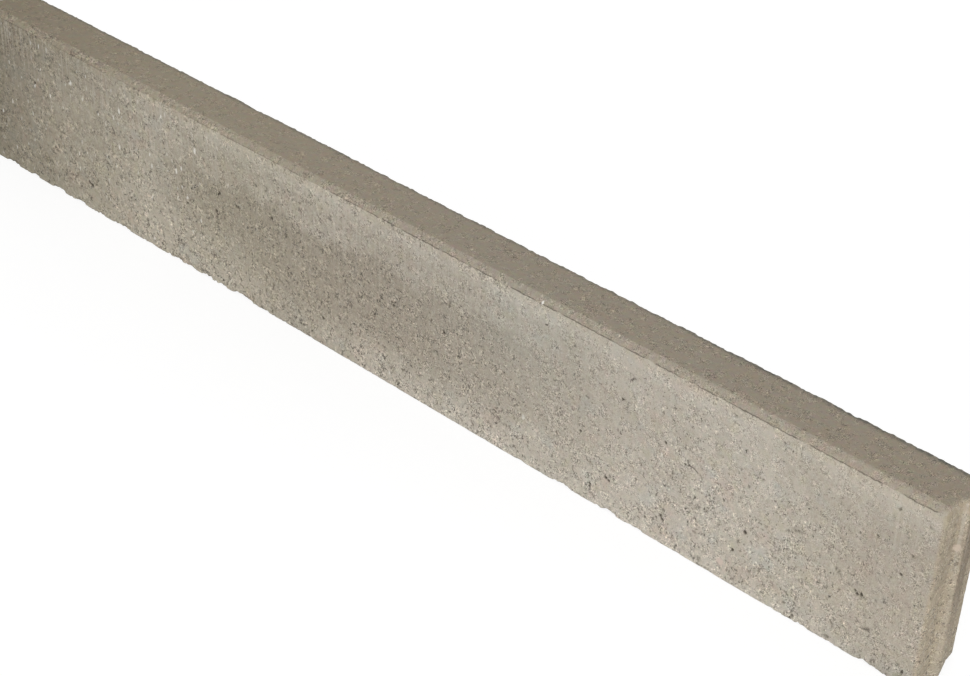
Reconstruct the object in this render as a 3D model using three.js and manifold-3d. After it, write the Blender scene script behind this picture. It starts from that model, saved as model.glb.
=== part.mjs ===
// Concrete edging kerb, one metre long, cast in one piece.
// It stands on its narrow bed. A tapered tongue stands out of the +X end, and the matching
// groove runs down the -X end, so that kerbs laid in a row lock together. The long top edges
// have a wide chamfer, and a narrower one follows the tongue, the groove and their shoulders.

import * as THREE from 'three';
import { mergeVertices } from 'three/addons/utils/BufferGeometryUtils.js';
import Module from 'manifold-3d';

const wasm = await Module();
wasm.setup();

// Driving dimensions, in millimetres.
const workingLength = 1000; // from shoulder to shoulder, the pitch at which kerbs are laid
const kerbHeight = 150;
const kerbThickness = 50;
const chamferDrop = 4.5; // how far every top chamfer runs down the walls
const sideChamferWidth = 5.5; // on the top face, along both long edges
const endChamferWidth = 3; // on the top face, round both ends
const tongueRootWidth = 16;
const tongueNoseWidth = 9;
const tongueProjection = 6;
const jointSideClearance = 1; // between each flank of the tongue and the groove
const jointEndClearance = 1.5; // between the tongue's nose and the groove's floor

const concreteColour = 0xaca291;

// The groove takes the next kerb's tongue, so its section follows from the tongue's.
const grooveMouthWidth = tongueRootWidth + 2 * jointSideClearance;
const grooveFloorWidth = tongueNoseWidth + 2 * jointSideClearance;
const grooveDepth = tongueProjection + jointEndClearance;

// The origin is at the middle of the bed of the whole kerb, tongue included.
const tongueShoulderX = (workingLength - tongueProjection) / 2;
const grooveShoulderX = tongueShoulderX - workingLength;
const overallLength = workingLength + tongueProjection;

// One end of the plan, as points from the -Y side to the +Y side: a trapezium that steps
// out of the shoulder line by `reach` along +X.
function jointPoints(shoulderX, reach, baseWidth, tipWidth) {
  return [
    new THREE.Vector2(shoulderX, -baseWidth / 2),
    new THREE.Vector2(shoulderX + reach, -tipWidth / 2),
    new THREE.Vector2(shoulderX + reach, tipWidth / 2),
    new THREE.Vector2(shoulderX, baseWidth / 2),
  ];
}

// The plan: four corners, with the tongue's outline between the two at +X and the groove's
// between the two at -X.
function planOutline() {
  const side = kerbThickness / 2;
  const tongue = jointPoints(tongueShoulderX, tongueProjection, tongueRootWidth, tongueNoseWidth);
  const groove = jointPoints(grooveShoulderX, grooveDepth, grooveMouthWidth, grooveFloorWidth);
  return new THREE.Shape([
    new THREE.Vector2(tongueShoulderX, -side),
    ...tongue,
    new THREE.Vector2(tongueShoulderX, side),
    new THREE.Vector2(grooveShoulderX, side),
    ...groove.reverse(),
    new THREE.Vector2(grooveShoulderX, -side),
  ]);
}

// The cross-section, drawn across the kerb and up: square at the bed, chamfered at the top.
function crossSection() {
  const side = kerbThickness / 2;
  const flat = side - sideChamferWidth;
  const wallTop = kerbHeight - chamferDrop;
  return new THREE.Shape([
    new THREE.Vector2(-side, 0),
    new THREE.Vector2(side, 0),
    new THREE.Vector2(side, wallTop),
    new THREE.Vector2(flat, kerbHeight),
    new THREE.Vector2(-flat, kerbHeight),
    new THREE.Vector2(-side, wallTop),
  ]);
}

// The plan raised to the full height. Its one-step bevel is the chamfer that follows the
// joint; the same bevel below the bed is taken off by the cross-section.
function raisedPlan() {
  return new THREE.ExtrudeGeometry(planOutline(), {
    depth: kerbHeight - chamferDrop,
    bevelEnabled: true,
    bevelSegments: 1,
    bevelThickness: chamferDrop,
    bevelSize: endChamferWidth,
    bevelOffset: -endChamferWidth,
  });
}

// The cross-section run past both ends of the plan, along X.
function longSection() {
  const overrun = 10;
  const geometry = new THREE.ExtrudeGeometry(crossSection(), {
    depth: overallLength + 2 * overrun,
    bevelEnabled: false,
  });
  const acrossToY = new THREE.Matrix4().makeBasis(
    new THREE.Vector3(0, 1, 0),
    new THREE.Vector3(0, 0, 1),
    new THREE.Vector3(1, 0, 0),
  );
  geometry.applyMatrix4(acrossToY);
  geometry.translate(-overallLength / 2 - overrun, 0, 0);
  return geometry;
}

function solidOf(geometry) {
  geometry.deleteAttribute('normal');
  geometry.deleteAttribute('uv');
  const merged = mergeVertices(geometry);
  return new wasm.Manifold(new wasm.Mesh({
    numProp: 3,
    vertProperties: new Float32Array(merged.attributes.position.array),
    triVerts: new Uint32Array(merged.index.array),
  }));
}

function geometryOf(solid) {
  const mesh = solid.getMesh();
  const geometry = new THREE.BufferGeometry();
  geometry.setAttribute('position', new THREE.BufferAttribute(mesh.vertProperties, 3));
  geometry.setIndex(new THREE.BufferAttribute(mesh.triVerts, 1));
  return geometry;
}

// The kerb is what the raised plan and the long section have in common.
function kerbStone() {
  const stone = solidOf(raisedPlan()).intersect(solidOf(longSection()));
  const concrete = new THREE.MeshStandardMaterial({
    color: concreteColour,
    roughness: 0.95,
    metalness: 0,
    flatShading: true,
  });
  const mesh = new THREE.Mesh(geometryOf(stone), concrete);
  mesh.name = 'kerb_stone';
  return mesh;
}

const kerb = new THREE.Group();
kerb.add(kerbStone());

export default kerb;
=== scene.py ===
# Concrete edging kerb, dressed: worn arrises, pits, drag marks and a mottled concrete surface
# over the kerb's plain solid. Lengths are in metres. The kerb stands on its bed at z = 0, with
# its front at the low end of y, its groove at the low end of x and its tongue at the high end.

import math
import random

import bmesh
import bpy
from mathutils import Matrix, Vector, kdtree, noise


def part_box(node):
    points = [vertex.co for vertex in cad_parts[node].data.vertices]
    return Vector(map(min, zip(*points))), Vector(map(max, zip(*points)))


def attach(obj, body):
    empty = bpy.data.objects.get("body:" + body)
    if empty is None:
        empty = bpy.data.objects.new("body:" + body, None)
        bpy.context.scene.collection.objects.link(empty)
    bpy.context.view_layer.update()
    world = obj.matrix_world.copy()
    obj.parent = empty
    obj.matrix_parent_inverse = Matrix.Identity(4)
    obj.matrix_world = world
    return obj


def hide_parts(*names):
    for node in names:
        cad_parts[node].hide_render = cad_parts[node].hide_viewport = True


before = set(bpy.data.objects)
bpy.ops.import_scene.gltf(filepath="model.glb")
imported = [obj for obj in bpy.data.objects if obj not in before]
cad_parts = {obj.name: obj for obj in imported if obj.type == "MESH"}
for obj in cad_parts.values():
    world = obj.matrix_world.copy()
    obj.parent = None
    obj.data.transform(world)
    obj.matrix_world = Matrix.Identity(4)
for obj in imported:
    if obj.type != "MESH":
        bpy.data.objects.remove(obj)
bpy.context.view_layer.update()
scene = bpy.context.scene
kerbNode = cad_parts["kerb_stone"]
kerbLow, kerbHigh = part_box("kerb_stone")
print("frame loaded")


# the stone's shape

stone = {
    "shoulderX": 0.497,  # where the tongue starts
    "tongueLength": 0.006,
    "rootHalfWidth": 0.008,  # of the tongue at the shoulder
    "noseHalfWidth": 0.0045,
    "grooveHalfWidth": 0.009,
    "chamferFoot": 0.1455,  # height of the lower edge of the top chamfers
    "topHalfWidth": 0.0195,
    "breakSize": (0.012, 0.030, 0.040),  # the block that cuts the break, before its slope is made
    "breakPlace": (0.006, 0.003, 0.018),  # its middle, from the shoulder
    "breakHeight": 0.015,  # how far up the nose the break reaches
    # rounding, before any wear
    "arrisWear": 0.0003,  # the bed's arrises and the joint's
    "uprightWear": 0.0018,
    "topArrisWear": 0.00025,
    "sharpTurn": 25,  # edges that turn by more degrees than this are rounded
    "uprightLength": 0.1,  # upright edges longer than this are the four corners
    "nearby": 0.001,  # how close to a corner or an edge counts as on it
    # mesh
    "voxel": 0.00085,
    "triangles": 192000,
    "spare": 0.00002,  # how far inside the solid's box the mesh stays
    # wear of the surface, and the scales of its noise
    "waviness": 0.00018,
    "wavinessScale": 17,
    "crumble": 0.0004,  # coarseness of the walls down by the bed
    "crumbleScale": 230,
    "crumblePatchScale": 28,
    "crumbleStart": 0.02,  # it sets in over this much below the chamfers
    # wear of the arrises: how much is gone at the worst places, and how far in it reaches
    "bedArris": 0.0034,
    "bedReach": 0.0052,
    "shoulderBedReach": 0.004,
    "noseBedReach": 0.005,
    "backTopArris": 0.0020,
    "backTopReach": 0.0034,
    "frontTopArris": 0.0006,
    "frontTopReach": 0.0045,
    "uprightArris": 0.0010,
    "uprightReach": 0.0042,
    "noseReach": 0.003,
    # where the bed's front and back arrises are the most ragged: start, and over what length
    "grooveRagged": (-0.08, 0.08),
    "tongueRagged": (0.37, 0.06),
    "wavyRagged": (0.10, 0.10),
    "waveScale": (44, 20),
    "slowScale": 52,
    "lumpScale": 105,
    "gritScale": 190,
    "fineScale": 340,
    # pits: clusters on each long wall, each end, the top and the bed
    "seed": 11,
    "wallPits": 420,
    "endPits": 90,
    "topPits": 25,
    "bedPits": 500,
    "wallPitTop": 0.006,  # how far below the chamfers the pits in the walls end
    "wallPitEnds": (0.01, 0.016),  # how far they keep from the groove end and the tongue's nose
    "topPitHalfWidth": 0.019,
    "endPitSide": 0.003,  # how far the pits at the ends keep from the front and the back
    "nosePitPlace": 0.002,  # how far behind the tongue's nose its pits lie
    "pitRadius": (0.0008, 0.0017),
    "pitDepth": (0.0006, 0.0019),
    "fullDepthRadius": 0.0014,  # smaller pits are shallower
    "darkestDepth": 0.0012,  # deeper pits are no darker
    "pitEdgeScale": 650,
    "endPitSpread": 0.0007,  # how much larger than the smallest a pit at an end may be
    "clearPitDepth": 0.0015,
    "clearPitShade": 1.8,  # how dark they are beside the others
    "flankPitRadius": 0.0013,
    "flankPitDepth": 0.0010,
}

# the clearest pits in the front: along, up, size, how many together
clearPits = [
    (0.487, 0.010, 0.0014, 1),
    (0.473, 0.086, 0.0012, 1),
    (0.448, 0.053, 0.0016, 3),
    (0.353, 0.050, 0.0017, 1),
    (0.345, 0.030, 0.0014, 1),
    (0.298, 0.078, 0.0010, 1),
    (0.284, 0.021, 0.0016, 2),
    (0.280, 0.087, 0.0012, 1),
    (0.240, 0.103, 0.0013, 1),
    (0.234, 0.028, 0.0014, 2),
    (0.217, 0.016, 0.0014, 2),
    (0.205, 0.057, 0.0013, 1),
    (0.068, 0.076, 0.0014, 1),
    (0.015, 0.075, 0.0014, 2),
    (-0.064, 0.026, 0.0015, 1),
    (-0.122, 0.093, 0.0015, 1),
    (-0.165, 0.086, 0.0013, 2),
    (-0.185, 0.090, 0.0015, 2),
    (-0.190, 0.071, 0.0015, 3),
    (-0.227, 0.063, 0.0014, 1),
    (-0.357, 0.025, 0.0019, 2),
    (-0.380, 0.121, 0.0014, 1),
    (-0.429, 0.098, 0.0017, 1),
]

# pits beside and on the tongue's front flank
flankPits = [(0.4972, -0.0088, 0.1145), (0.4975, -0.0078, 0.1022), (0.5003, -0.0060, 0.1004)]


def held(value):
    return max(0.0, min(1.0, value))


def evaluatedMesh(piece):
    depsgraph = bpy.context.evaluated_depsgraph_get()
    return bpy.data.meshes.new_from_object(piece.evaluated_get(depsgraph), depsgraph=depsgraph)


def looseObject(name, shape):
    mesh = bpy.data.meshes.new(name)
    shape.to_mesh(mesh)
    shape.free()
    piece = bpy.data.objects.new(name, mesh)
    scene.collection.objects.link(piece)
    return piece


# the wedge that has broken off the foot of the tongue
def brokenCorner():
    shape = bmesh.new()
    root = stone["shoulderX"]
    nose = root + stone["tongueLength"]
    beyond, across, up = stone["breakPlace"]
    block = Matrix.LocRotScale(Vector((root + beyond, across, up)), None, Vector(stone["breakSize"]))
    bmesh.ops.create_cube(shape, size=1, matrix=block)
    # the break runs from part way up the nose down to the root at the bed
    onNose = Vector((nose, -stone["noseHalfWidth"], 0))
    onRoot = Vector((root, stone["rootHalfWidth"], 0))
    upNose = Vector((nose, stone["noseHalfWidth"], stone["breakHeight"]))
    outward = (onRoot - onNose).cross(upNose - onNose).normalized()
    if outward.x < 0:
        outward.negate()
    geom = shape.verts[:] + shape.edges[:] + shape.faces[:]
    cut = bmesh.ops.bisect_plane(
        shape, geom=geom, plane_co=onNose, plane_no=outward, clear_inner=True
    )
    rim = [e for e in cut["geom_cut"] if isinstance(e, bmesh.types.BMEdge)]
    bmesh.ops.contextual_create(shape, geom=rim)
    bmesh.ops.recalc_face_normals(shape, faces=shape.faces)
    return looseObject("brokenCorner", shape)


def kerbBlank():
    nearby, side = stone["nearby"], kerbHigh[1]
    shape = bmesh.new()
    shape.from_mesh(kerbNode.data)
    # the node's mesh is loose triangles: they are merged, and flat ones joined
    bmesh.ops.remove_doubles(shape, verts=shape.verts, dist=1e-6)
    bmesh.ops.dissolve_limit(
        shape, angle_limit=math.radians(1), verts=shape.verts, edges=shape.edges
    )

    def isSharp(edge):
        return edge.is_manifold and edge.calc_face_angle(0) > math.radians(stone["sharpTurn"])

    def kindOf(edge):
        a, b = (v.co for v in edge.verts)
        if min(a.z, b.z) > stone["chamferFoot"] - nearby:
            return "topArrisWear"
        atCorner = min(abs(a.y), abs(b.y)) > side - nearby and abs(a.x - b.x) < nearby
        isLong = abs(a.z - b.z) > stone["uprightLength"]
        return "uprightWear" if atCorner and isLong else "arrisWear"

    for kind in ("uprightWear", "arrisWear", "topArrisWear"):
        bmesh.ops.bevel(
            shape,
            geom=[e for e in shape.edges if isSharp(e) and kindOf(e) == kind],
            offset=stone[kind],
            affect="EDGES",
            segments=3 if kind == "uprightWear" else 2,
            profile=0.5,
            material=-1,
        )
    piece = looseObject("kerbBlank", shape)
    cutter = brokenCorner()
    cut = piece.modifiers.new("broken corner", "BOOLEAN")
    cut.operation = "DIFFERENCE"
    cut.solver = "EXACT"
    cut.object = cutter
    remesh = piece.modifiers.new("even mesh", "REMESH")
    remesh.mode = "VOXEL"
    remesh.voxel_size = stone["voxel"]
    mesh = evaluatedMesh(piece)
    bpy.data.objects.remove(cutter)
    bpy.data.objects.remove(piece)
    return mesh


# places for the pits: (centre, outward direction, radius, depth, darkness of their painted shade)
def pitPlaces():
    dice = random.Random(stone["seed"])
    low, high = kerbLow, kerbHigh
    foot = stone["chamferFoot"]
    smallest, largest = stone["pitRadius"]
    alongX, alongY, alongZ = Vector((1, 0, 0)), Vector((0, 1, 0)), Vector((0, 0, 1))
    pits = []

    def cluster(centre, outward, first, second, size, most):
        heading = dice.uniform(0, math.tau)
        for k in range(dice.randint(1, most)):
            radius = size * dice.uniform(0.6, 1.1)
            depth = dice.uniform(*stone["pitDepth"]) * min(1, radius / stone["fullDepthRadius"])
            pits.append((centre.copy(), outward, radius, depth, 1))
            heading += dice.uniform(-1, 1)
            step = radius * dice.uniform(0.9, 1.7)
            centre = centre + (first * math.cos(heading) + second * math.sin(heading)) * step

    # the long walls, with more and larger pits low down
    first, last = low[0] + stone["wallPitEnds"][0], high[0] - stone["wallPitEnds"][1]
    for side in (-1, 1):
        for k in range(stone["wallPits"]):
            height = foot * dice.random() ** 1.4
            if height > foot - stone["wallPitTop"]:
                continue
            size = smallest + (largest - smallest) * dice.random() ** 2.4
            size *= 1.15 - 0.4 * height / foot
            centre = Vector((dice.uniform(first, last), side * high[1], height))
            cluster(centre, alongY * side, alongX, alongZ, size, 4)
    # the top
    reach = stone["topPitHalfWidth"]
    for k in range(stone["topPits"]):
        centre = Vector((dice.uniform(low[0], high[0]), dice.uniform(-reach, reach), high[2]))
        size = smallest * dice.uniform(0.7, 1.1)
        cluster(centre, alongZ, alongX, alongY, size, 1)
    # the bed
    for k in range(stone["bedPits"]):
        centre = Vector((dice.uniform(low[0], high[0]), dice.uniform(low[1], high[1]), low[2]))
        size = dice.uniform(smallest, largest)
        cluster(centre, -alongZ, alongX, alongY, size, 4)
    # the ends: the shoulders, the tongue's nose and the inside of the groove
    left, right = low[1] + stone["endPitSide"], high[1] - stone["endPitSide"]
    for side in (-1, 1):
        for k in range(stone["endPits"]):
            face = stone["shoulderX"] if side > 0 else low[0]
            across = dice.uniform(left, right)
            if side > 0 and abs(across) < stone["rootHalfWidth"]:
                face = high[0] - stone["nosePitPlace"]
            if side < 0 and abs(across) < stone["grooveHalfWidth"]:
                face = low[0] + stone["tongueLength"]
            centre = Vector((face, across, foot * dice.random() ** 1.3))
            size = smallest + stone["endPitSpread"] * dice.random() ** 2
            cluster(centre, alongX * side, alongY, alongZ, size, 3)
    for place, height, size, count in clearPits:
        centre = Vector((place, low[1], height))
        radius = 1.2 * size
        depth, shade = stone["clearPitDepth"], stone["clearPitShade"]
        for k in range(count):
            pits.append((centre.copy(), -alongY, radius, depth, shade))
            heading = dice.uniform(0, math.tau)
            centre += Vector((math.cos(heading), 0, math.sin(heading))) * radius * 1.7
            radius *= 0.85
    flank = Vector((0.5, -0.86, 0)).normalized()
    for place in flankPits:
        pits.append((Vector(place), flank, stone["flankPitRadius"], stone["flankPitDepth"], 1))
    return pits


# how near a place is to an arris, from 0 at `reach` or further to 1 on it
def nearness(across, up, reach):
    return max(0.0, 1 - math.hypot(across, up) / reach) ** 1.5


def arrisLoss(place):
    foot, flat = stone["chamferFoot"], stone["topHalfWidth"]
    side, top, nose = kerbHigh[1], kerbHigh[2], kerbHigh[0]
    outY = abs(place.y)
    fine = noise.noise(place * stone["fineScale"])
    slow = noise.noise(place * stone["slowScale"] + Vector((5, 1, 8)))
    lumps = 0.12 + 0.8 * noise.noise(place * stone["lumpScale"]) + 0.6 * slow + 0.5 * fine
    lumps = max(0.0, lumps)
    # along the bed most has gone towards the groove, and some by the tongue
    start, length = stone["grooveRagged"]
    ragged = 0.14 + 1.20 * held((start - place.x) / length)
    start, length = stone["tongueRagged"]
    ragged += 0.40 * held((place.x - start) / length)
    waveX, waveY = stone["waveScale"]
    wave = max(0.0, noise.noise(Vector((place.x * waveX, place.y * waveY, 6.4))) - 0.04)
    start, length = stone["wavyRagged"]
    ragged += 3.4 * wave * held((place.x - start) / length)
    near = nearness(outY - side, place.z, stone["bedReach"])
    loss = stone["bedArris"] * near * lumps * ragged
    if place.y > 0:
        # the whole back chamfer is rough, less by the tongue and more at the groove end
        down = held((outY - flat) / (side - flat))
        offY = outY - flat - down * (side - flat)
        offZ = place.z - top + down * (top - foot)
        most = 0.46 - 0.55 * max(0.0, place.x - 0.15) + 1.5 * max(0.0, -0.36 - place.x)
        gritty = noise.noise(place * stone["gritScale"])
        grit = max(0.0, most + 0.36 * slow + 0.34 * gritty + 0.30 * fine)
        near = nearness(offY, offZ, stone["backTopReach"])
        loss = max(loss, stone["backTopArris"] * near * grit)
    else:
        grit = max(0.0, 0.75 + 0.6 * fine)
        near = nearness(outY - flat, place.z - top, stone["frontTopReach"])
        loss = max(loss, stone["frontTopArris"] * near * grit)
    shoulder = min(abs(place.x - stone["shoulderX"]), abs(place.x - kerbLow[0]))
    near = nearness(outY - side, shoulder, stone["uprightReach"])
    loss = max(loss, stone["uprightArris"] * near * lumps)
    if place.x > stone["shoulderX"] + stone["nearby"]:
        near = nearness(outY - stone["noseHalfWidth"], place.x - nose, stone["noseReach"])
        loss = max(loss, stone["uprightArris"] * near * lumps)
        near = nearness(place.x - nose, place.z, stone["noseBedReach"])
        loss = max(loss, stone["bedArris"] * near * lumps)
    elif outY > stone["rootHalfWidth"]:
        near = nearness(shoulder, place.z, stone["shoulderBedReach"])
        loss = max(loss, stone["bedArris"] * near * lumps)
    return loss


# how far the plain surface has worn in, coarser in patches low on the walls
def surfaceLoss(place):
    foot = stone["chamferFoot"]
    wall = held((foot - place.z) / stone["crumbleStart"])
    low = held(1 - place.z / foot)
    loss = stone["waviness"] * (0.5 + 0.5 * noise.noise(place * stone["wavinessScale"]))
    patchy = 0.5 + 0.5 * noise.noise(place * stone["crumblePatchScale"] + Vector((2, 9, 4)))
    rough = (0.05 + 0.95 * low * low) * wall * max(0.0, patchy * 1.6 - 0.3)
    if rough > 0.03:
        crumbs = noise.noise(place * stone["crumbleScale"] + Vector((7, 3, 1)))
        loss += stone["crumble"] * max(0.0, crumbs - 0.05) * rough
    return loss


def wearStone(mesh):
    places = [v.co.copy() for v in mesh.vertices]
    normals = [v.normal.copy() for v in mesh.vertices]
    tree = kdtree.KDTree(len(places))
    for k, place in enumerate(places):
        tree.insert(place, k)
    tree.balance()
    inward = [surfaceLoss(place) + arrisLoss(place) for place in places]
    pitShading = [0.0] * len(places)
    for centre, outward, radius, depth, darkness in pitPlaces():
        for place, k, reach in tree.find_range(centre, radius * 1.6):
            if normals[k].dot(outward) < 0.5:
                continue
            ragged = 1 + 0.6 * noise.noise(place * stone["pitEdgeScale"])
            share = 1 - (reach / (radius * ragged)) ** 2
            if share > 0:
                inward[k] = max(inward[k], inward[k] * 0.3 + depth * min(1, share * 1.7))
                # painted shade in each pit, darker where it is deeper
                dark = min(1, share * 1.3) * min(1, depth / stone["darkestDepth"]) * darkness
                pitShading[k] = max(pitShading[k], dark)
    for k, place in enumerate(places):
        place -= normals[k] * inward[k]
    # nothing stands proud of the solid's own box
    spare = stone["spare"]
    for place in places:
        for axis in range(3):
            place[axis] = min(kerbHigh[axis] - spare, max(kerbLow[axis] + spare, place[axis]))
    mesh.vertices.foreach_set("co", [value for place in places for value in place])
    # the pits' painted shade is kept on the points for the material
    paintedPitShade = mesh.attributes.new("paintedPitShade", "FLOAT", "POINT")
    paintedPitShade.data.foreach_set("value", pitShading)
    mesh.update()


# one flat chart for each face of the kerb, each long face laid in two lengths
def layOut(mesh):
    firstLength, gap = 0.6707, 0.004
    half = firstLength / 2
    wall, top, end = 0.1465, 0.054, 0.053  # heights of the rows
    inset, aboveFoot = 0.0008, 0.0002
    rows = [0, wall + gap, 2 * (wall + gap), 3 * (wall + gap)]
    rows += [rows[3] + top + gap, rows[3] + 2 * (top + gap), rows[3] + 3 * (top + gap)]
    whole = max(firstLength + 2 * gap, rows[6] + end + 2 * gap)
    shape = bmesh.new()
    shape.from_mesh(mesh)
    chart = shape.loops.layers.uv.new("OFBake")
    flanks = (stone["shoulderX"] - inset, kerbLow[0] + inset)
    for face in shape.faces:
        middle = face.calc_center_median()
        near = {
            "front": middle.y - kerbLow[1],
            "back": kerbHigh[1] - middle.y,
            "top": kerbHigh[2] - middle.z,
            "bed": middle.z - kerbLow[2],
            "tongue": flanks[0] - middle.x,
            "groove": middle.x - flanks[1],
        }
        kind = min(near, key=near.get)
        if kind in ("front", "back") and middle.z > stone["chamferFoot"] + aboveFoot:
            kind = "top"
        late = middle.x - kerbLow[0] > firstLength
        for loop in face.loops:
            x, y, z = loop.vert.co
            along, across = x - kerbLow[0], y - kerbLow[1]
            if kind in ("front", "back"):
                if late:
                    place = (along - firstLength + (half + gap if kind == "back" else 0), rows[1] + z)
                else:
                    place = (along, (rows[0] if kind == "front" else rows[2]) + z)
            elif kind in ("top", "bed"):
                if late:
                    place = (along - firstLength + (half + gap if kind == "bed" else 0), rows[4] + across)
                else:
                    place = (along, (rows[3] if kind == "top" else rows[5]) + across)
            else:
                place = (z + (half if kind == "groove" else 0), rows[6] + across)
            loop[chart].uv = ((place[0] + gap / 2) / whole, (place[1] + gap / 2) / whole)
    shape.to_mesh(mesh)
    shape.free()


mesh = kerbBlank()
print("blank:", len(mesh.vertices), "points")
wearStone(mesh)
print("worn")
kerbStone = bpy.data.objects.new("kerbStone", mesh)
scene.collection.objects.link(kerbStone)
thin = kerbStone.modifiers.new("thin out", "DECIMATE")
thin.ratio = stone["triangles"] / (2 * len(mesh.polygons))
thin.use_collapse_triangulate = True
kerbStone.data = evaluatedMesh(kerbStone)
kerbStone.modifiers.clear()
kerbStone.data.name = "kerbStone"
bpy.data.meshes.remove(mesh)
layOut(kerbStone.data)
for face in kerbStone.data.polygons:
    face.use_smooth = True
print("stone:", len(kerbStone.data.polygons), "triangles")


# the concrete

concrete = {
    "fair": (0.436, 0.391, 0.326, 1),
    "dull": (0.350, 0.314, 0.252, 1),
    "dampAndShade": (0.310, 0.272, 0.216, 1),
    "pale": (0.520, 0.482, 0.410, 1),
    # the top's tone is browner, and darker than the chamfers' partly by painted shade
    "topTone": (0.307, 0.258, 0.191, 1),
    "chamferTone": (0.360, 0.310, 0.240, 1),
    # the ends' tone is browner, and darker by painted shade
    "endTone": (0.331, 0.277, 0.197, 1),
    "noseShade": (0.215, 0.177, 0.131, 1),
    "pink": (0.430, 0.345, 0.285, 1),
    "blue": (0.385, 0.395, 0.360, 1),
    "yellow": (0.420, 0.385, 0.285, 1),
    # the tone of painted shade in the gaps, pores, pits, the scratch and the burr
    "poreShade": (0.070, 0.060, 0.045, 1),
    "fringe": (0.085, 0.088, 0.076, 1),
    "glint": (0.820, 0.800, 0.740, 1),
    "rimTint": (1.012, 0.997, 0.968, 1),
    "hueByGroove": (1.0, 1.004, 0.980, 1),
    "hueByTongue": (0.992, 1.0, 1.014, 1),
    "farWarmth": (0.10, 0.04, -0.12),
    # sizes of the grains and of the openings between them
    "grainSize": 0.0018,
    "pebbleSize": 0.0046,
    "flakeSize": 0.0058,
    "dotSize": 0.0026,
    "hollowSize": 0.0072,
    "grainScale": ((0.70, 0.70, 0.56, 1), (1, 1, 1, 1)),  # at the groove end and at the tongue
    "slender": 0.42,  # how wide a flake is for its height
    # how far the edges of each kind wander
    "grainWander": 0.0034,
    "poreWander": 0.0065,
    "flakeWander": 0.0030,
    "scratchWander": 0.0018,
    "quartzWander": 0.0016,
    "patchWander": 0.045,
    "bottomWander": 0.012,
    "footWander": 0.0014,
    "footClimb": 0.0026,
    # strengths, those of the gaps, pores, pits, scratch and burr being of painted shade
    "gapDepth": 0.54,
    "poreDepth": 0.84,
    "pitShade": 0.92,
    "scratchDepth": 0.68,
    "burrDepth": 0.68,
    "quartzStrength": 0.72,
    "specular": 0.3,
    "bump": 0.6,
    "bumpHeight": 0.0006,
    # each cloud of noise: scale, detail, roughness
    "clouds": {
        "footLine": (260, 2, 0.5),
        "blotches": (13, 3, 0.55),
        "paleSpots": (75, 3, 0.6),
        "pink": (60, 3, 0.5),
        "blue": (45, 3, 0.5),
        "yellow": (70, 3, 0.5),
        "patchEdge": (24, 3, 0.5),
        "bottomEdge": (90, 3, 0.5),
        "push": (420, 2, 0.6),
        "fine": (1300, 3, 0.72),
        "broad": (400, 3, 0.6),
        "grit": (700, 3, 0.65),
        "patchy": (150, 2, 0.5),
        "lean": (230, 2, 0.6),
        "drag": (1, 3, 0.6),
        "crowd": (48, 2, 0.6),
        "gaps": (230, 2, 0.6),
        "gapPatches": (280, 2, 0.5),
        "pores": (440, 3, 0.62),
        "burr": (1, 3, 0.6),
        "clumps": (260, 3, 0.65),
    },
    "dragStretch": (420, 260, 16),
    "burrStretch": (60, 5, 5),
    # where the finish changes along the kerb: where each change starts, and where it is complete
    "along": {
        "wholeLength": (-0.5, 0.5),
        "shoulder": (0.487, 0.4965),
        "dampStart": (-0.30, -0.19),
        "dampEnd": (0.33, 0.00),
        "dampTop": (-0.24, -0.08),
        "dampFootLeft": (-0.28, -0.10),
        "dampFootRight": (-0.15, 0.05),
        "duller": (0.36, 0.47),
        "farEnd": (-0.16, -0.28),
        "rim": (-0.36, -0.08),
        "wornAndLitByGroove": (-0.20, -0.36),
        "wornAndLitByTongue": (0.0, 0.17),
        "dirtyByTongue": (0.40, 0.485),
        "ends": (0.4935, 0.4966),
        "tongue": (0.4976, 0.4990),
        "nose": (0.5018, 0.5028),
        "coarser": (0.36, -0.05),
        "calmer": (-0.08, -0.36),
        "onTop": (-0.35, 0.40),
        "finest": (-0.20, 0.20),
        "gritty": (0.45, -0.05),
        "evener": (0.12, 0.36),
        "speckled": (0.15, 0.35),
        "lighter": (-0.10, -0.30),
        "pebbles": (0.30, -0.25),
        # painted shade towards the groove end, on the walls and on the top
        "shadeOnWall": (-0.27, -0.50),
        "shadeOnTop": (-0.28, -0.50),
        "hue": (-0.25, 0.15),
        "dragByTongue": (0.25, 0.40),
        "dragByGroove": (0.10, -0.05),
        "burr": (-0.30, 0.10),
        "fringe": (0.15, 0.42),
        "flakes": (-0.15, -0.23),
        "grooveFace": (-0.4960, -0.4985),
    },
    # the same up the kerb
    "upward": {
        "lowDown": (0.140, 0.0),
        "dampBody": (0.120, 0.096),
        "dampUpper": (0.144, 0.130),
        "duller": (0.152, 0.11),
        "farEnd": (0.10, 0.13),
        "bottom": (0.022, 0.006),
        "nose": (0.02, 0.09),
        "speckled": (0.060, 0.020),
        "warmRim": (0.137, 0.143),
        "drag": (0.06, 0.14),
        "closer": (0.10, 0.13),
        "fringe": (0.1425, 0.1460),
    },
    # places and widths of single features
    "topEdge": (-0.0003, 0.0002),  # from the chamfer's foot
    "flatHalfWidth": (0.0194, 0.0186),  # of the top face, at its middle and towards the ends
    "flatEdge": (0.0002, -0.0004),
    "flatMiddle": 0.08,
    "rimHeight": 0.138,
    "rimWidth": (0.012, 0.001),
    "stainPlace": -0.10,
    "coarsestHeight": 0.072,
    "coarsestWidth": (0.05, 0.01),
    "scratchWidth": (0.0009, 0.0004),
    "burrWidth": (0.0005, 0.0001),
    "burrSide": (0.0236, 0.0242),  # it shows only on the front and the back
    "fringeFrom": (0.0142, 0.0130),  # how near the middle it starts, left and right
    "fringeFull": 0.0190,
}

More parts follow.
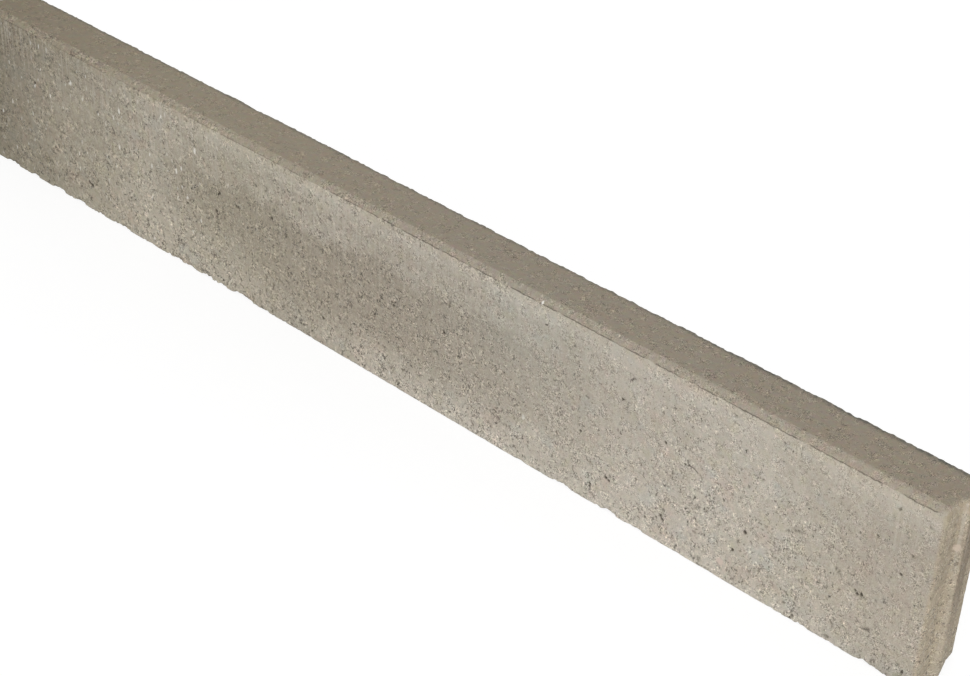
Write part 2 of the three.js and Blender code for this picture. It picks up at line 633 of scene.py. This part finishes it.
# tinted clouds: tone, shift, where in the noise they start and are full, strength
mottles = [
    ("pink", (3, 1, 7), (0.54, 0.70), 0.45),
    ("blue", (8, 5, 2), (0.54, 0.70), 0.34),
    ("yellow", (5, 2, 9), (0.56, 0.70), 0.50),
]

# single marks: centre, radius, tone, strength; the second is a painted glint on the front chamfer
marks = [
    ((0.4988, -0.0070, 0.1126), 0.0034, (0.52, 0.43, 0.345, 1), 0.8),
    ((0.1620, -0.0240, 0.1465), 0.0016, (0.82, 0.79, 0.73, 1), 0.95),
    ((0.3365, -0.0250, 0.0145), 0.0040, (0.60, 0.50, 0.43, 1), 0.9),
    ((0.4860, -0.0250, 0.0040), 0.0060, (0.25, 0.25, 0.16, 1), 0.4),
]

# the clearest quartz glints on the front: along, up, half width
quartz = [
    (-0.429, 0.096, 0.0014),
    (-0.407, 0.094, 0.0012),
    (-0.376, 0.118, 0.0015),
    (-0.361, 0.108, 0.0010),
    (-0.340, 0.102, 0.0010),
    (-0.311, 0.116, 0.0017),
    (-0.273, 0.090, 0.0010),
    (-0.271, 0.080, 0.0013),
    (-0.239, 0.088, 0.0016),
    (-0.214, 0.117, 0.0018),
]

# a bent scratch on the front: the places it runs through, along and up
scratch = [(0.300, 0.083), (0.302, 0.080), (0.306, 0.079), (0.310, 0.077)]

# soft tinted patches: centre, radius, tint; the last one is painted shade at the groove end
tints = [
    ((-0.17, -0.025, 0.090), 0.09, (0.998, 1.003, 0.991, 1)),
    ((-0.02, -0.025, 0.070), 0.09, (1.006, 0.998, 0.998, 1)),
    ((0.15, -0.025, 0.118), 0.06, (0.982, 1.003, 1.010, 1)),
    ((0.30, -0.025, 0.045), 0.07, (1.002, 0.999, 1.004, 1)),
    ((0.46, -0.025, 0.100), 0.12, (1.006, 0.999, 0.988, 1)),
    ((0.51, -0.025, 0.085), 0.10, (0.968, 0.961, 0.961, 1)),
    ((-0.47, -0.025, 0.085), 0.08, (0.945, 0.940, 0.936, 1)),
]


def emptyTree(block):
    block.use_nodes = True
    block.node_tree.nodes.clear()
    return block.node_tree


def concreteMaterial():
    along, upward = concrete["along"], concrete["upward"]
    material = bpy.data.materials.new("drycastConcrete")
    tree = emptyTree(material)

    def add(kind, **values):
        made = tree.nodes.new("ShaderNode" + kind)
        for name, value in values.items():
            setattr(made, name, value)
        return made

    def feed(socket, value):
        if isinstance(value, bpy.types.NodeSocket):
            tree.links.new(value, socket)
        else:
            socket.default_value = value

    def sums(operation, a, b=0.0, clamp=False):
        made = add("Math", operation=operation, use_clamp=clamp)
        feed(made.inputs[0], a)
        feed(made.inputs[1], b)
        return made.outputs[0]

    def plus(a, b):
        return sums("ADD", a, b)

    def minus(a, b):
        return sums("SUBTRACT", a, b)

    def larger(a, b):
        return sums("MAXIMUM", a, b)

    def unsigned(a):
        return sums("ABSOLUTE", a)

    def times(a, *others):
        for b in others:
            a = sums("MULTIPLY", a, b)
        return a

    def ramp(value, low, high, out=(0.0, 1.0), kind="SMOOTHSTEP"):
        made = add("MapRange", interpolation_type=kind)
        feed(made.inputs["Value"], value)
        feed(made.inputs["From Min"], low)
        feed(made.inputs["From Max"], high)
        made.inputs["To Min"].default_value = out[0]
        made.inputs["To Max"].default_value = out[1]
        return made.outputs["Result"]

    def line(value, low, high, out=(0.0, 1.0)):
        return ramp(value, low, high, out, "LINEAR")

    # 1 up to `core` of the radius, fading to 0 at the radius
    def spot(away, radius, core):
        return ramp(away, radius, times(radius, core))

    def mix(share, a, b):
        made = add("Mix", data_type="RGBA")
        feed(made.inputs[0], share)
        feed(made.inputs[6], a)
        feed(made.inputs[7], b)
        return made.outputs[2]

    def vectorOf(operation, a, b=None, scale=None):
        made = add("VectorMath", operation=operation)
        feed(made.inputs[0], a)
        if b is not None:
            feed(made.inputs[1], b)
        if scale is not None:
            feed(made.inputs["Scale"], scale)
        return made.outputs["Value" if operation in ("DISTANCE", "DOT_PRODUCT") else "Vector"]

    def tinted(colour, share, tint):
        return vectorOf("MULTIPLY", colour, mix(share, (1, 1, 1, 1), tint))

    coords = add("TexCoord").outputs["Object"]

    def placed(stretch=(1, 1, 1), shift=(0, 0, 0)):
        made = add("Mapping")
        made.inputs["Scale"].default_value = stretch
        made.inputs["Location"].default_value = shift
        tree.links.new(coords, made.inputs["Vector"])
        return made.outputs[0]

    def cloud(name, vector=None, output="Fac"):
        scale, detail, rough = concrete["clouds"][name]
        made = add("TexNoise")
        feed(made.inputs["Vector"], vector or coords)
        made.inputs["Scale"].default_value = scale
        made.inputs["Detail"].default_value = detail
        made.inputs["Roughness"].default_value = rough
        return made.outputs[output]

    def cells(size, vector, space="3D"):
        made = add("TexVoronoi", voronoi_dimensions=space)
        feed(made.inputs["Vector"], vector)
        made.inputs["Scale"].default_value = 1 / size
        return made.outputs["Distance"], channels(made.outputs["Color"])

    def channels(colour):
        made = add("SeparateColor")
        tree.links.new(colour, made.inputs[0])
        return made.outputs

    def axes(vector):
        made = add("SeparateXYZ")
        tree.links.new(vector, made.inputs[0])
        return made.outputs

    x, y, z = axes(coords)
    # the chamfer's foot climbs a little at the tongue's shoulder
    level = stone["chamferFoot"]
    foot = ramp(x, *along["shoulder"], (level, level + concrete["footClimb"]))
    foot = plus(foot, times(minus(cloud("footLine"), 0.36), concrete["footWander"]))
    onTop = ramp(minus(z, foot), *concrete["topEdge"])
    wall = minus(1.0, onTop)
    lowDown = line(z, *upward["lowDown"])

    # tones: broad blotches, then finer and tinted ones
    blotches = ramp(cloud("blotches"), 0.30, 0.62, (0.5, 1))
    colour = mix(blotches, concrete["dull"], concrete["fair"])
    colour = mix(ramp(cloud("paleSpots"), 0.40, 0.66, (0, 0.30)), colour, concrete["pale"])
    for tone, shift, fade, strength in mottles:
        mottle = ramp(cloud(tone, placed(shift=shift)), *fade, (0, strength))
        colour = mix(mottle, colour, concrete[tone])

    # a damp, duller patch half way up the walls
    wander = times(minus(cloud("patchEdge"), 0.5), concrete["patchWander"])
    roughX, roughZ = plus(x, wander), plus(z, wander)
    dampAndShade = larger(ramp(roughZ, *upward["dampBody"]), ramp(roughZ, *upward["dampUpper"], (0, 0.38)))
    dampLeft = ramp(x, *along["dampFootLeft"], (0.006, -0.014))
    dampRight = ramp(x, *along["dampFootRight"], (-0.016, 0.014))
    dampTop = ramp(x, *along["dampTop"], (0.078, 0.046))
    dampAndShade = times(dampAndShade, ramp(roughZ, larger(dampLeft, dampRight), dampTop))
    dampAndShade = times(dampAndShade, ramp(roughX, *along["dampStart"]), ramp(roughX, *along["dampEnd"]))
    # a duller stretch by the tongue, and another high up at the groove end, which is painted shade
    duller = times(ramp(x, *along["duller"], (0, 0.52)), ramp(z, *upward["duller"]))
    farUp = times(ramp(x, *along["farEnd"]), ramp(z, *upward["farEnd"]))
    dampAndShade = larger(larger(dampAndShade, duller), times(farUp, 0.22))
    colour = mix(dampAndShade, colour, concrete["dampAndShade"])

    # a paler rim under the chamfer, and along the bottom a strip, paler in stretches from wear and
    # painted light where the worn edge catches it, and dirtier in others
    rim = ramp(unsigned(minus(z, concrete["rimHeight"])), *concrete["rimWidth"])
    rim = times(rim, ramp(x, *along["rim"], (0.04, 0.21)))
    bottom = ramp(plus(z, times(cloud("bottomEdge"), concrete["bottomWander"])), *upward["bottom"])
    wornAndLit = larger(
        ramp(x, *along["wornAndLitByGroove"], (0, 0.42)), ramp(x, *along["wornAndLitByTongue"], (0, 0.45))
    )
    colour = mix(larger(rim, times(bottom, wornAndLit)), colour, concrete["pale"])
    offStain = unsigned(plus(x, -concrete["stainPlace"]))
    dirty = larger(
        ramp(x, *along["dirtyByTongue"], (0, 0.27)), ramp(offStain, 0.10, 0.0, (0, 0.13))
    )
    colour = mix(times(dirty, bottom), colour, concrete["fringe"])

    # the pressed top face and chamfers, and the two ends, are browner and smoother; the top's darker tone
    # is partly painted shade
    offMiddle = unsigned(minus(x, concrete["flatMiddle"]))
    flatHalfWidth = ramp(offMiddle, 0.0, 0.35, concrete["flatHalfWidth"])
    flat = times(ramp(minus(unsigned(y), flatHalfWidth), *concrete["flatEdge"]), onTop)
    pressedAndShaded = mix(flat, concrete["chamferTone"], concrete["topTone"])
    colour = mix(times(onTop, 0.85), colour, pressedAndShaded)
    # the ends' darker tone is painted shade
    ends = times(ramp(unsigned(x), *along["ends"], (0, 0.75)), ramp(x, *along["tongue"], (1, 0.78)))
    colour = mix(times(ends, wall), colour, concrete["endTone"])
    # painted shade on the tongue's nose, deepest high up
    nose = times(ramp(x, *along["nose"]), ramp(z, *upward["nose"], (0.3, 0.9)))
    colour = mix(nose, colour, concrete["noseShade"])

    # the grain is stretched towards the groove end, and its edges wander
    even = vectorOf("MULTIPLY", coords, mix(line(x, *along["wholeLength"]), *concrete["grainScale"]))
    push = vectorOf("SUBTRACT", cloud("push", even, "Color"), (0.5, 0.5, 0.5))

    def pushed(vector, wander):
        return vectorOf("ADD", vector, vectorOf("SCALE", push, scale=concrete[wander]))

    warped = pushed(even, "grainWander")
    bent = pushed(even, "poreWander")
    ragged = pushed(coords, "flakeWander")

    # how strong the grain is: by height, along the kerb and on the pressed top
    coarse = ramp(lowDown, 0.0, 0.9, (0.80, 1.00))
    offCoarsest = unsigned(minus(z, concrete["coarsestHeight"]))
    coarse = times(coarse, ramp(offCoarsest, *concrete["coarsestWidth"], (1.0, 1.12)))
    coarse = times(coarse, ramp(x, *along["coarser"], (1.02, 1.06)))
    coarse = times(coarse, ramp(x, *along["calmer"], (1.0, 0.78)))
    coarse = times(coarse, plus(times(farUp, 0.34), 1.0))
    onFlat = ramp(x, *along["onTop"], (0.50, 0.80))
    coarse = plus(coarse, times(flat, minus(onFlat, coarse)))

    # grains of sand, each its own tone
    grainAway, grainTone = cells(concrete["grainSize"], warped)
    fine = cloud("fine", even)
    light = line(grainTone[0], 0.0, 1.0, (-0.12, 0.10))
    finest = times(line(fine, 0.3, 0.7, (-0.42, 0.42)), ramp(x, *along["finest"], (1, 1.24)))
    light = plus(light, finest)
    # the middle and the groove end are coarser
    broad = line(cloud("broad", even), 0.3, 0.7, (-0.18, 0.18))
    grit = line(cloud("grit", even), 0.3, 0.7, (-0.30, 0.30))
    broad = plus(broad, times(grit, ramp(x, *along["gritty"], (0.15, 1))))
    broad = times(broad, ramp(x, *along["evener"], (1, 0.80)))
    light = plus(light, times(broad, ramp(flat, 0, 1, (1, 0.35))))
    # the foot near the tongue is the most speckled
    speckled = times(ramp(x, *along["speckled"]), ramp(z, *upward["speckled"]))
    lights = plus(ramp(x, *along["lighter"], (0.85, 1.0)), times(speckled, 0.20))
    light = sums("MINIMUM", light, times(light, lights))
    coarse = times(coarse, plus(times(speckled, 0.08), 1.0))
    # single pale grains, and pebbles
    speck = times(ramp(grainTone[1], 0.80, 0.90), ramp(grainAway, 0.42, 0.20))
    pebbleAway, pebbleTone = cells(concrete["pebbleSize"], warped)
    pebble = sums("GREATER_THAN", pebbleTone[0], ramp(x, *along["pebbles"], (0.86, 0.78)))
    pebbleRadius = ramp(pebbleTone[1], 0, 1, (0.16, 0.32))
    pebble = times(pebble, ramp(pebbleAway, pebbleRadius, 0.08))
    light = plus(light, times(larger(speck, pebble), 0.36))
    patchy = ramp(cloud("patchy", even), 0.36, 0.64, (0.38, 1.68))
    patchy = sums("POWER", patchy, ramp(flat, 0, 1, (1, 1.6)))
    light = plus(times(light, patchy, coarse), 1.022)
    # towards the groove end it is warmer, and darker by painted shade where the light falls off; the foot
    # is paler
    grooveEndShade = line(x, *along["shadeOnWall"], (1.0, 0.50))
    grooveEndShade = larger(grooveEndShade, times(onTop, line(x, *along["shadeOnTop"], (1.0, 0.80))))
    paler = ramp(lowDown, 0.0, 0.85, (1.0, 1.13))
    colour = vectorOf("SCALE", colour, scale=times(light, times(grooveEndShade, paler)))
    warmer = vectorOf("SCALE", concrete["farWarmth"], scale=minus(1.0, grooveEndShade))
    hue = mix(ramp(x, *along["hue"]), concrete["hueByGroove"], concrete["hueByTongue"])
    colour = vectorOf("MULTIPLY", colour, vectorOf("ADD", warmer, hue))
    warmRim = times(ramp(z, *upward["warmRim"]), wall)
    colour = tinted(colour, warmRim, concrete["rimTint"])
    for centre, radius, tint in tints:
        away = plus(vectorOf("DISTANCE", coords, centre), wander)
        colour = tinted(colour, ramp(away, radius, radius * 0.4), tint)
    # each grain patch leans a little to its own hue
    lean = vectorOf("SUBTRACT", cloud("lean", output="Color"), (0.5, 0.5, 0.5))
    lean = vectorOf("SCALE", lean, scale=ramp(onTop, 0.0, 1.0, (0.12, 0.26)))
    colour = vectorOf("MULTIPLY", colour, vectorOf("ADD", lean, (1.0, 1.0, 1.0)))

    # faint drag marks up the walls
    drag = ramp(cloud("drag", placed(concrete["dragStretch"])), 0.50, 0.68)
    drag = times(drag, ramp(z, *upward["drag"], (0.2, 1)), wall)
    dragged = larger(
        ramp(x, *along["dragByTongue"], (0.24, 0.36)), ramp(x, *along["dragByGroove"], (0, 0.42))
    )
    colour = mix(times(drag, dragged), colour, concrete["pale"])

    # how open the surface is: more towards the bed, and closed on the pressed top
    crowd = line(cloud("crowd"), 0.3, 0.7, (-0.05, 0.05))
    thick = plus(times(lowDown, 0.062), crowd)
    thick = plus(thick, ramp(offMiddle, 0.20, 0.0, (-0.018, -0.019)))
    thick = minus(thick, ramp(z, *upward["closer"], (0.0, 0.022)))
    thick = minus(thick, times(onTop, 0.14))
    # gaps between grains, painted dark as shade
    gap = ramp(unsigned(minus(cloud("gaps", even), 0.5)), 0.055, 0.025)
    gapPatch = plus(cloud("gapPatches", vectorOf("ADD", even, (4, 4, 1))), thick)
    gap = times(gap, ramp(gapPatch, 0.62, 0.67))
    # pores, painted dark as shade: ragged ones, small dots, and fewer larger hollows
    poreField = plus(cloud("pores", warped), thick)
    poreShade = ramp(poreField, 0.672, 0.705)
    dotAway, dotTone = cells(concrete["dotSize"], bent)
    dotRadius = line(dotTone[1], 0.0, 1.0, (0.15, 0.42))
    dotChosen = sums("GREATER_THAN", plus(dotTone[0], times(thick, 1.6)), 0.95)
    dot = times(spot(dotAway, dotRadius, 0.55), dotChosen)
    hollowAway, hollowTone = cells(concrete["hollowSize"], bent)
    hollowRadius = line(hollowTone[1], 0.0, 1.0, (0.11, 0.25))
    hollowChosen = sums("GREATER_THAN", plus(hollowTone[0], times(thick, 2.0)), 0.94)
    hollow = times(spot(hollowAway, hollowRadius, 0.5), hollowChosen)
    # a paler ring lies round each dot and pore
    ring = times(ramp(dotAway, times(dotRadius, 1.7), times(dotRadius, 1.1)), dotChosen)
    ring = larger(ring, ramp(poreField, 0.615, 0.660))
    colour = mix(times(ring, ramp(onTop, 0, 1, (0.5, 0.2))), colour, concrete["pale"])
    # painted shade in the gaps, hollows, pores and dots
    colour = mix(times(gap, concrete["gapDepth"]), colour, concrete["poreShade"])
    colour = mix(times(hollow, line(hollowTone[2], 0, 1, (0.45, 0.9))), colour, concrete["poreShade"])
    colour = mix(times(poreShade, concrete["poreDepth"]), colour, concrete["poreShade"])
    colour = mix(times(dot, line(dotTone[2], 0, 1, (0.4, 0.95))), colour, concrete["poreShade"])

    # the pits, and the scratch, with painted shade in their hollows
    paintedPitShade = add("Attribute", attribute_name="paintedPitShade").outputs["Fac"]
    colour = mix(line(paintedPitShade, 0.3, 1.47, (0, concrete["pitShade"])), colour, concrete["poreShade"])
    scratched = 0.0
    nearly = pushed(coords, "scratchWander")
    turns = [Vector((place, kerbLow[1], height)) for place, height in scratch]
    for start, end in zip(turns, turns[1:]):
        run = end - start
        offStart = vectorOf("SUBTRACT", nearly, start)
        passed = vectorOf("DOT_PRODUCT", offStart, run / run.length_squared)
        passed = sums("MULTIPLY", passed, 1.0, clamp=True)
        nearest = vectorOf("ADD", vectorOf("SCALE", run, scale=passed), start)
        away = vectorOf("DISTANCE", nearly, nearest)
        cut = ramp(away, *concrete["scratchWidth"], (0, concrete["scratchDepth"]))
        scratched = larger(cut, scratched)
    colour = mix(scratched, colour, concrete["poreShade"])

    # a dark line of painted shade on the burr that the mould leaves at the foot of each chamfer
    burr = ramp(unsigned(minus(z, foot)), *concrete["burrWidth"])
    burr = times(burr, ramp(unsigned(y), *concrete["burrSide"]), ramp(x, *along["burr"], (0.35, 1)))
    burr = times(burr, ramp(cloud("burr", placed(concrete["burrStretch"])), 0.37, 0.52))
    colour = mix(times(burr, concrete["burrDepth"]), colour, concrete["poreShade"])

    # dirt and algae along the far top arris
    fringeFrom = ramp(x, *along["fringe"], concrete["fringeFrom"])
    grown = times(ramp(y, fringeFrom, concrete["fringeFull"]), ramp(z, *upward["fringe"]))
    grown = times(grown, ramp(x, *along["fringe"], (0.46, 0.61)))
    clumps = ramp(cloud("clumps"), 0.32, 0.68, (0.35, 1.65))
    grown = sums("MULTIPLY", grown, clumps, clamp=True)
    colour = mix(grown, colour, concrete["fringe"])

    # quartz glints, most of them towards the groove end
    slender = concrete["slender"]
    onWall = add("CombineXYZ")
    spread = axes(ragged)
    feed(onWall.inputs[0], spread[0])
    feed(onWall.inputs[1], times(spread[2], slender))
    flakeAway, flake = cells(concrete["flakeSize"], onWall.outputs[0], "2D")
    chance = ramp(x, *along["flakes"], (0.997, 0.80))
    flakeRadius = line(flake[1], 0.0, 1.0, (0.09, 0.23))
    glint = times(spot(flakeAway, flakeRadius, 0.5), sums("GREATER_THAN", flake[0], chance))
    shown = sums("SUBTRACT", wall, ramp(x, *along["grooveFace"]), clamp=True)
    brightness = line(sums("POWER", flake[2], 1.6), 0, 1, (0.20, 0.75))
    glint = times(glint, shown, brightness)
    tall = vectorOf("MULTIPLY", pushed(coords, "quartzWander"), (1, 1, slender))
    for place, height, radius in quartz:
        away = vectorOf("DISTANCE", tall, (place, kerbLow[1], height * slender))
        bright = ramp(away, radius, radius * 0.4, (0, concrete["quartzStrength"]))
        glint = larger(glint, bright)
    colour = mix(glint, colour, concrete["glint"])

    for centre, radius, tone, strength in marks:
        away = vectorOf("DISTANCE", ragged, centre)
        colour = mix(ramp(away, radius, radius * 0.6, (0, strength)), colour, tone)

    shader = add("BsdfPrincipled")
    tree.links.new(colour, shader.inputs["Base Color"])
    shader.inputs["Specular IOR Level"].default_value = concrete["specular"]
    roughness = minus(line(fine, 0.3, 0.7, (0.86, 0.97)), times(glint, 0.4))
    tree.links.new(roughness, shader.inputs["Roughness"])

    # fine relief, smoother above the chamfer's foot
    rougher = ramp(z, level + 0.0002, level - 0.0002)
    relief = times(fine, ramp(rougher, 0, 1, (0.4, 1.0)))
    relief = minus(relief, times(grainAway, times(rougher, 0.5)))
    bump = add("Bump")
    bump.inputs["Strength"].default_value = concrete["bump"]
    bump.inputs["Distance"].default_value = concrete["bumpHeight"]
    tree.links.new(relief, bump.inputs["Height"])
    tree.links.new(bump.outputs[0], shader.inputs["Normal"])

    output = add("OutputMaterial")
    tree.links.new(shader.outputs[0], output.inputs["Surface"])
    return material


kerbStone.data.materials.clear()
kerbStone.data.materials.append(concreteMaterial())
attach(kerbStone, "root")
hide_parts("kerb_stone")
print("concrete done")


# floor, light and camera

studio = {
    "floorReach": 6,
    "floorDrop": 0.0002,  # below the bed
    "floorTone": 0.8,
    "floorShown": 0.22,  # what the camera sees is mostly glow, with the shadow faintly on it
    "floorGlow": 0.85,
    "ambient": 0.62,
    "keyPlace": (0.9, -1.8, 0.5),
    "keyAim": (0.15, 0.0, 0.06),
    "keySize": (0.8, 0.6),
    "keyWatts": 14.2,
    "sidePlace": (2.2, -0.5, 0.5),
    "sideAim": (0.5, 0, 0.08),
    "sideSize": (0.6, 0.6),
    "sideWatts": 8.7,
    "fillPlace": (-0.6, 1.6, 0.9),
    "fillAim": (0, 0, 0.05),
    "fillSize": (1.6, 1.2),
    "fillWatts": 6.0,
    "cameraPlace": (0.9478, -0.9713, 0.9450),
    "cameraTurn": 41.525,
    "cameraTilt": -34.03,
    "cameraRoll": 2.525,
    "sensorWidth": 36,
    "lens": 77.14,
}


# shows one shader to the camera, in reflections and through glass, and lights with the other
def showAndLight(tree, lighting, shown, output):
    rays = tree.nodes.new("ShaderNodeLightPath").outputs
    mirrored = tree.nodes.new("ShaderNodeMath")
    mirrored.operation = "MAXIMUM"
    tree.links.new(rays["Is Glossy Ray"], mirrored.inputs[0])
    tree.links.new(rays["Is Transmission Ray"], mirrored.inputs[1])
    seen = tree.nodes.new("ShaderNodeMath")
    seen.operation = "MAXIMUM"
    tree.links.new(rays["Is Camera Ray"], seen.inputs[0])
    tree.links.new(mirrored.outputs[0], seen.inputs[1])
    choose = tree.nodes.new("ShaderNodeMixShader")
    tree.links.new(seen.outputs[0], choose.inputs[0])
    tree.links.new(lighting.outputs[0], choose.inputs[1])
    tree.links.new(shown.outputs[0], choose.inputs[2])
    last = tree.nodes.new(output)
    tree.links.new(choose.outputs[0], last.inputs["Surface"])


def softFloor():
    shape = bmesh.new()
    bmesh.ops.create_grid(shape, x_segments=1, y_segments=1, size=studio["floorReach"])
    bmesh.ops.translate(shape, verts=shape.verts, vec=(0, 0, -studio["floorDrop"]))
    floor = looseObject("floor", shape)
    material = bpy.data.materials.new("paleFloor")
    tree = emptyTree(material)
    matt = tree.nodes.new("ShaderNodeBsdfDiffuse")
    matt.inputs["Color"].default_value = (studio["floorTone"],) * 3 + (1,)
    faint = tree.nodes.new("ShaderNodeBsdfDiffuse")
    faint.inputs["Color"].default_value = (studio["floorShown"],) * 3 + (1,)
    glow = tree.nodes.new("ShaderNodeEmission")
    glow.inputs["Strength"].default_value = studio["floorGlow"]
    lit = tree.nodes.new("ShaderNodeAddShader")
    tree.links.new(faint.outputs[0], lit.inputs[0])
    tree.links.new(glow.outputs[0], lit.inputs[1])
    showAndLight(tree, matt, lit, "ShaderNodeOutputMaterial")
    floor.data.materials.append(material)


def softWorld():
    world = bpy.data.worlds.new("paleRoom")
    scene.world = world
    tree = emptyTree(world)
    room = tree.nodes.new("ShaderNodeBackground")
    room.inputs["Color"].default_value = (1, 1, 1, 1)
    room.inputs["Strength"].default_value = studio["ambient"]
    white = tree.nodes.new("ShaderNodeBackground")
    white.inputs["Color"].default_value = (1, 1, 1, 1)
    showAndLight(tree, room, white, "ShaderNodeOutputWorld")


def softLamp(name, place, aim, size, watts):
    lamp = bpy.data.lights.new(name, "AREA")
    lamp.shape = "RECTANGLE"
    lamp.size, lamp.size_y = size
    lamp.energy = watts
    holder = bpy.data.objects.new(name, lamp)
    scene.collection.objects.link(holder)
    holder.location = place
    holder.rotation_euler = (Vector(aim) - Vector(place)).to_track_quat("-Z", "Y").to_euler()


softFloor()
softWorld()
for lamp in ("key", "side", "fill"):
    softLamp(lamp + "Lamp", *(studio[lamp + part] for part in ("Place", "Aim", "Size", "Watts")))

camera = bpy.data.objects.new("camera", bpy.data.cameras.new("camera"))
scene.collection.objects.link(camera)
camera.data.sensor_width = studio["sensorWidth"]
camera.data.lens = studio["lens"]
camera.data.clip_start = 0.01
camera.matrix_world = (
    Matrix.Translation(studio["cameraPlace"])
    @ Matrix.Rotation(math.radians(studio["cameraTurn"]), 4, "Z")
    @ Matrix.Rotation(math.radians(90 + studio["cameraTilt"]), 4, "X")
    @ Matrix.Rotation(math.radians(studio["cameraRoll"]), 4, "Z")
)
scene.camera = camera
scene.view_settings.view_transform = "Standard"
print("studio done")
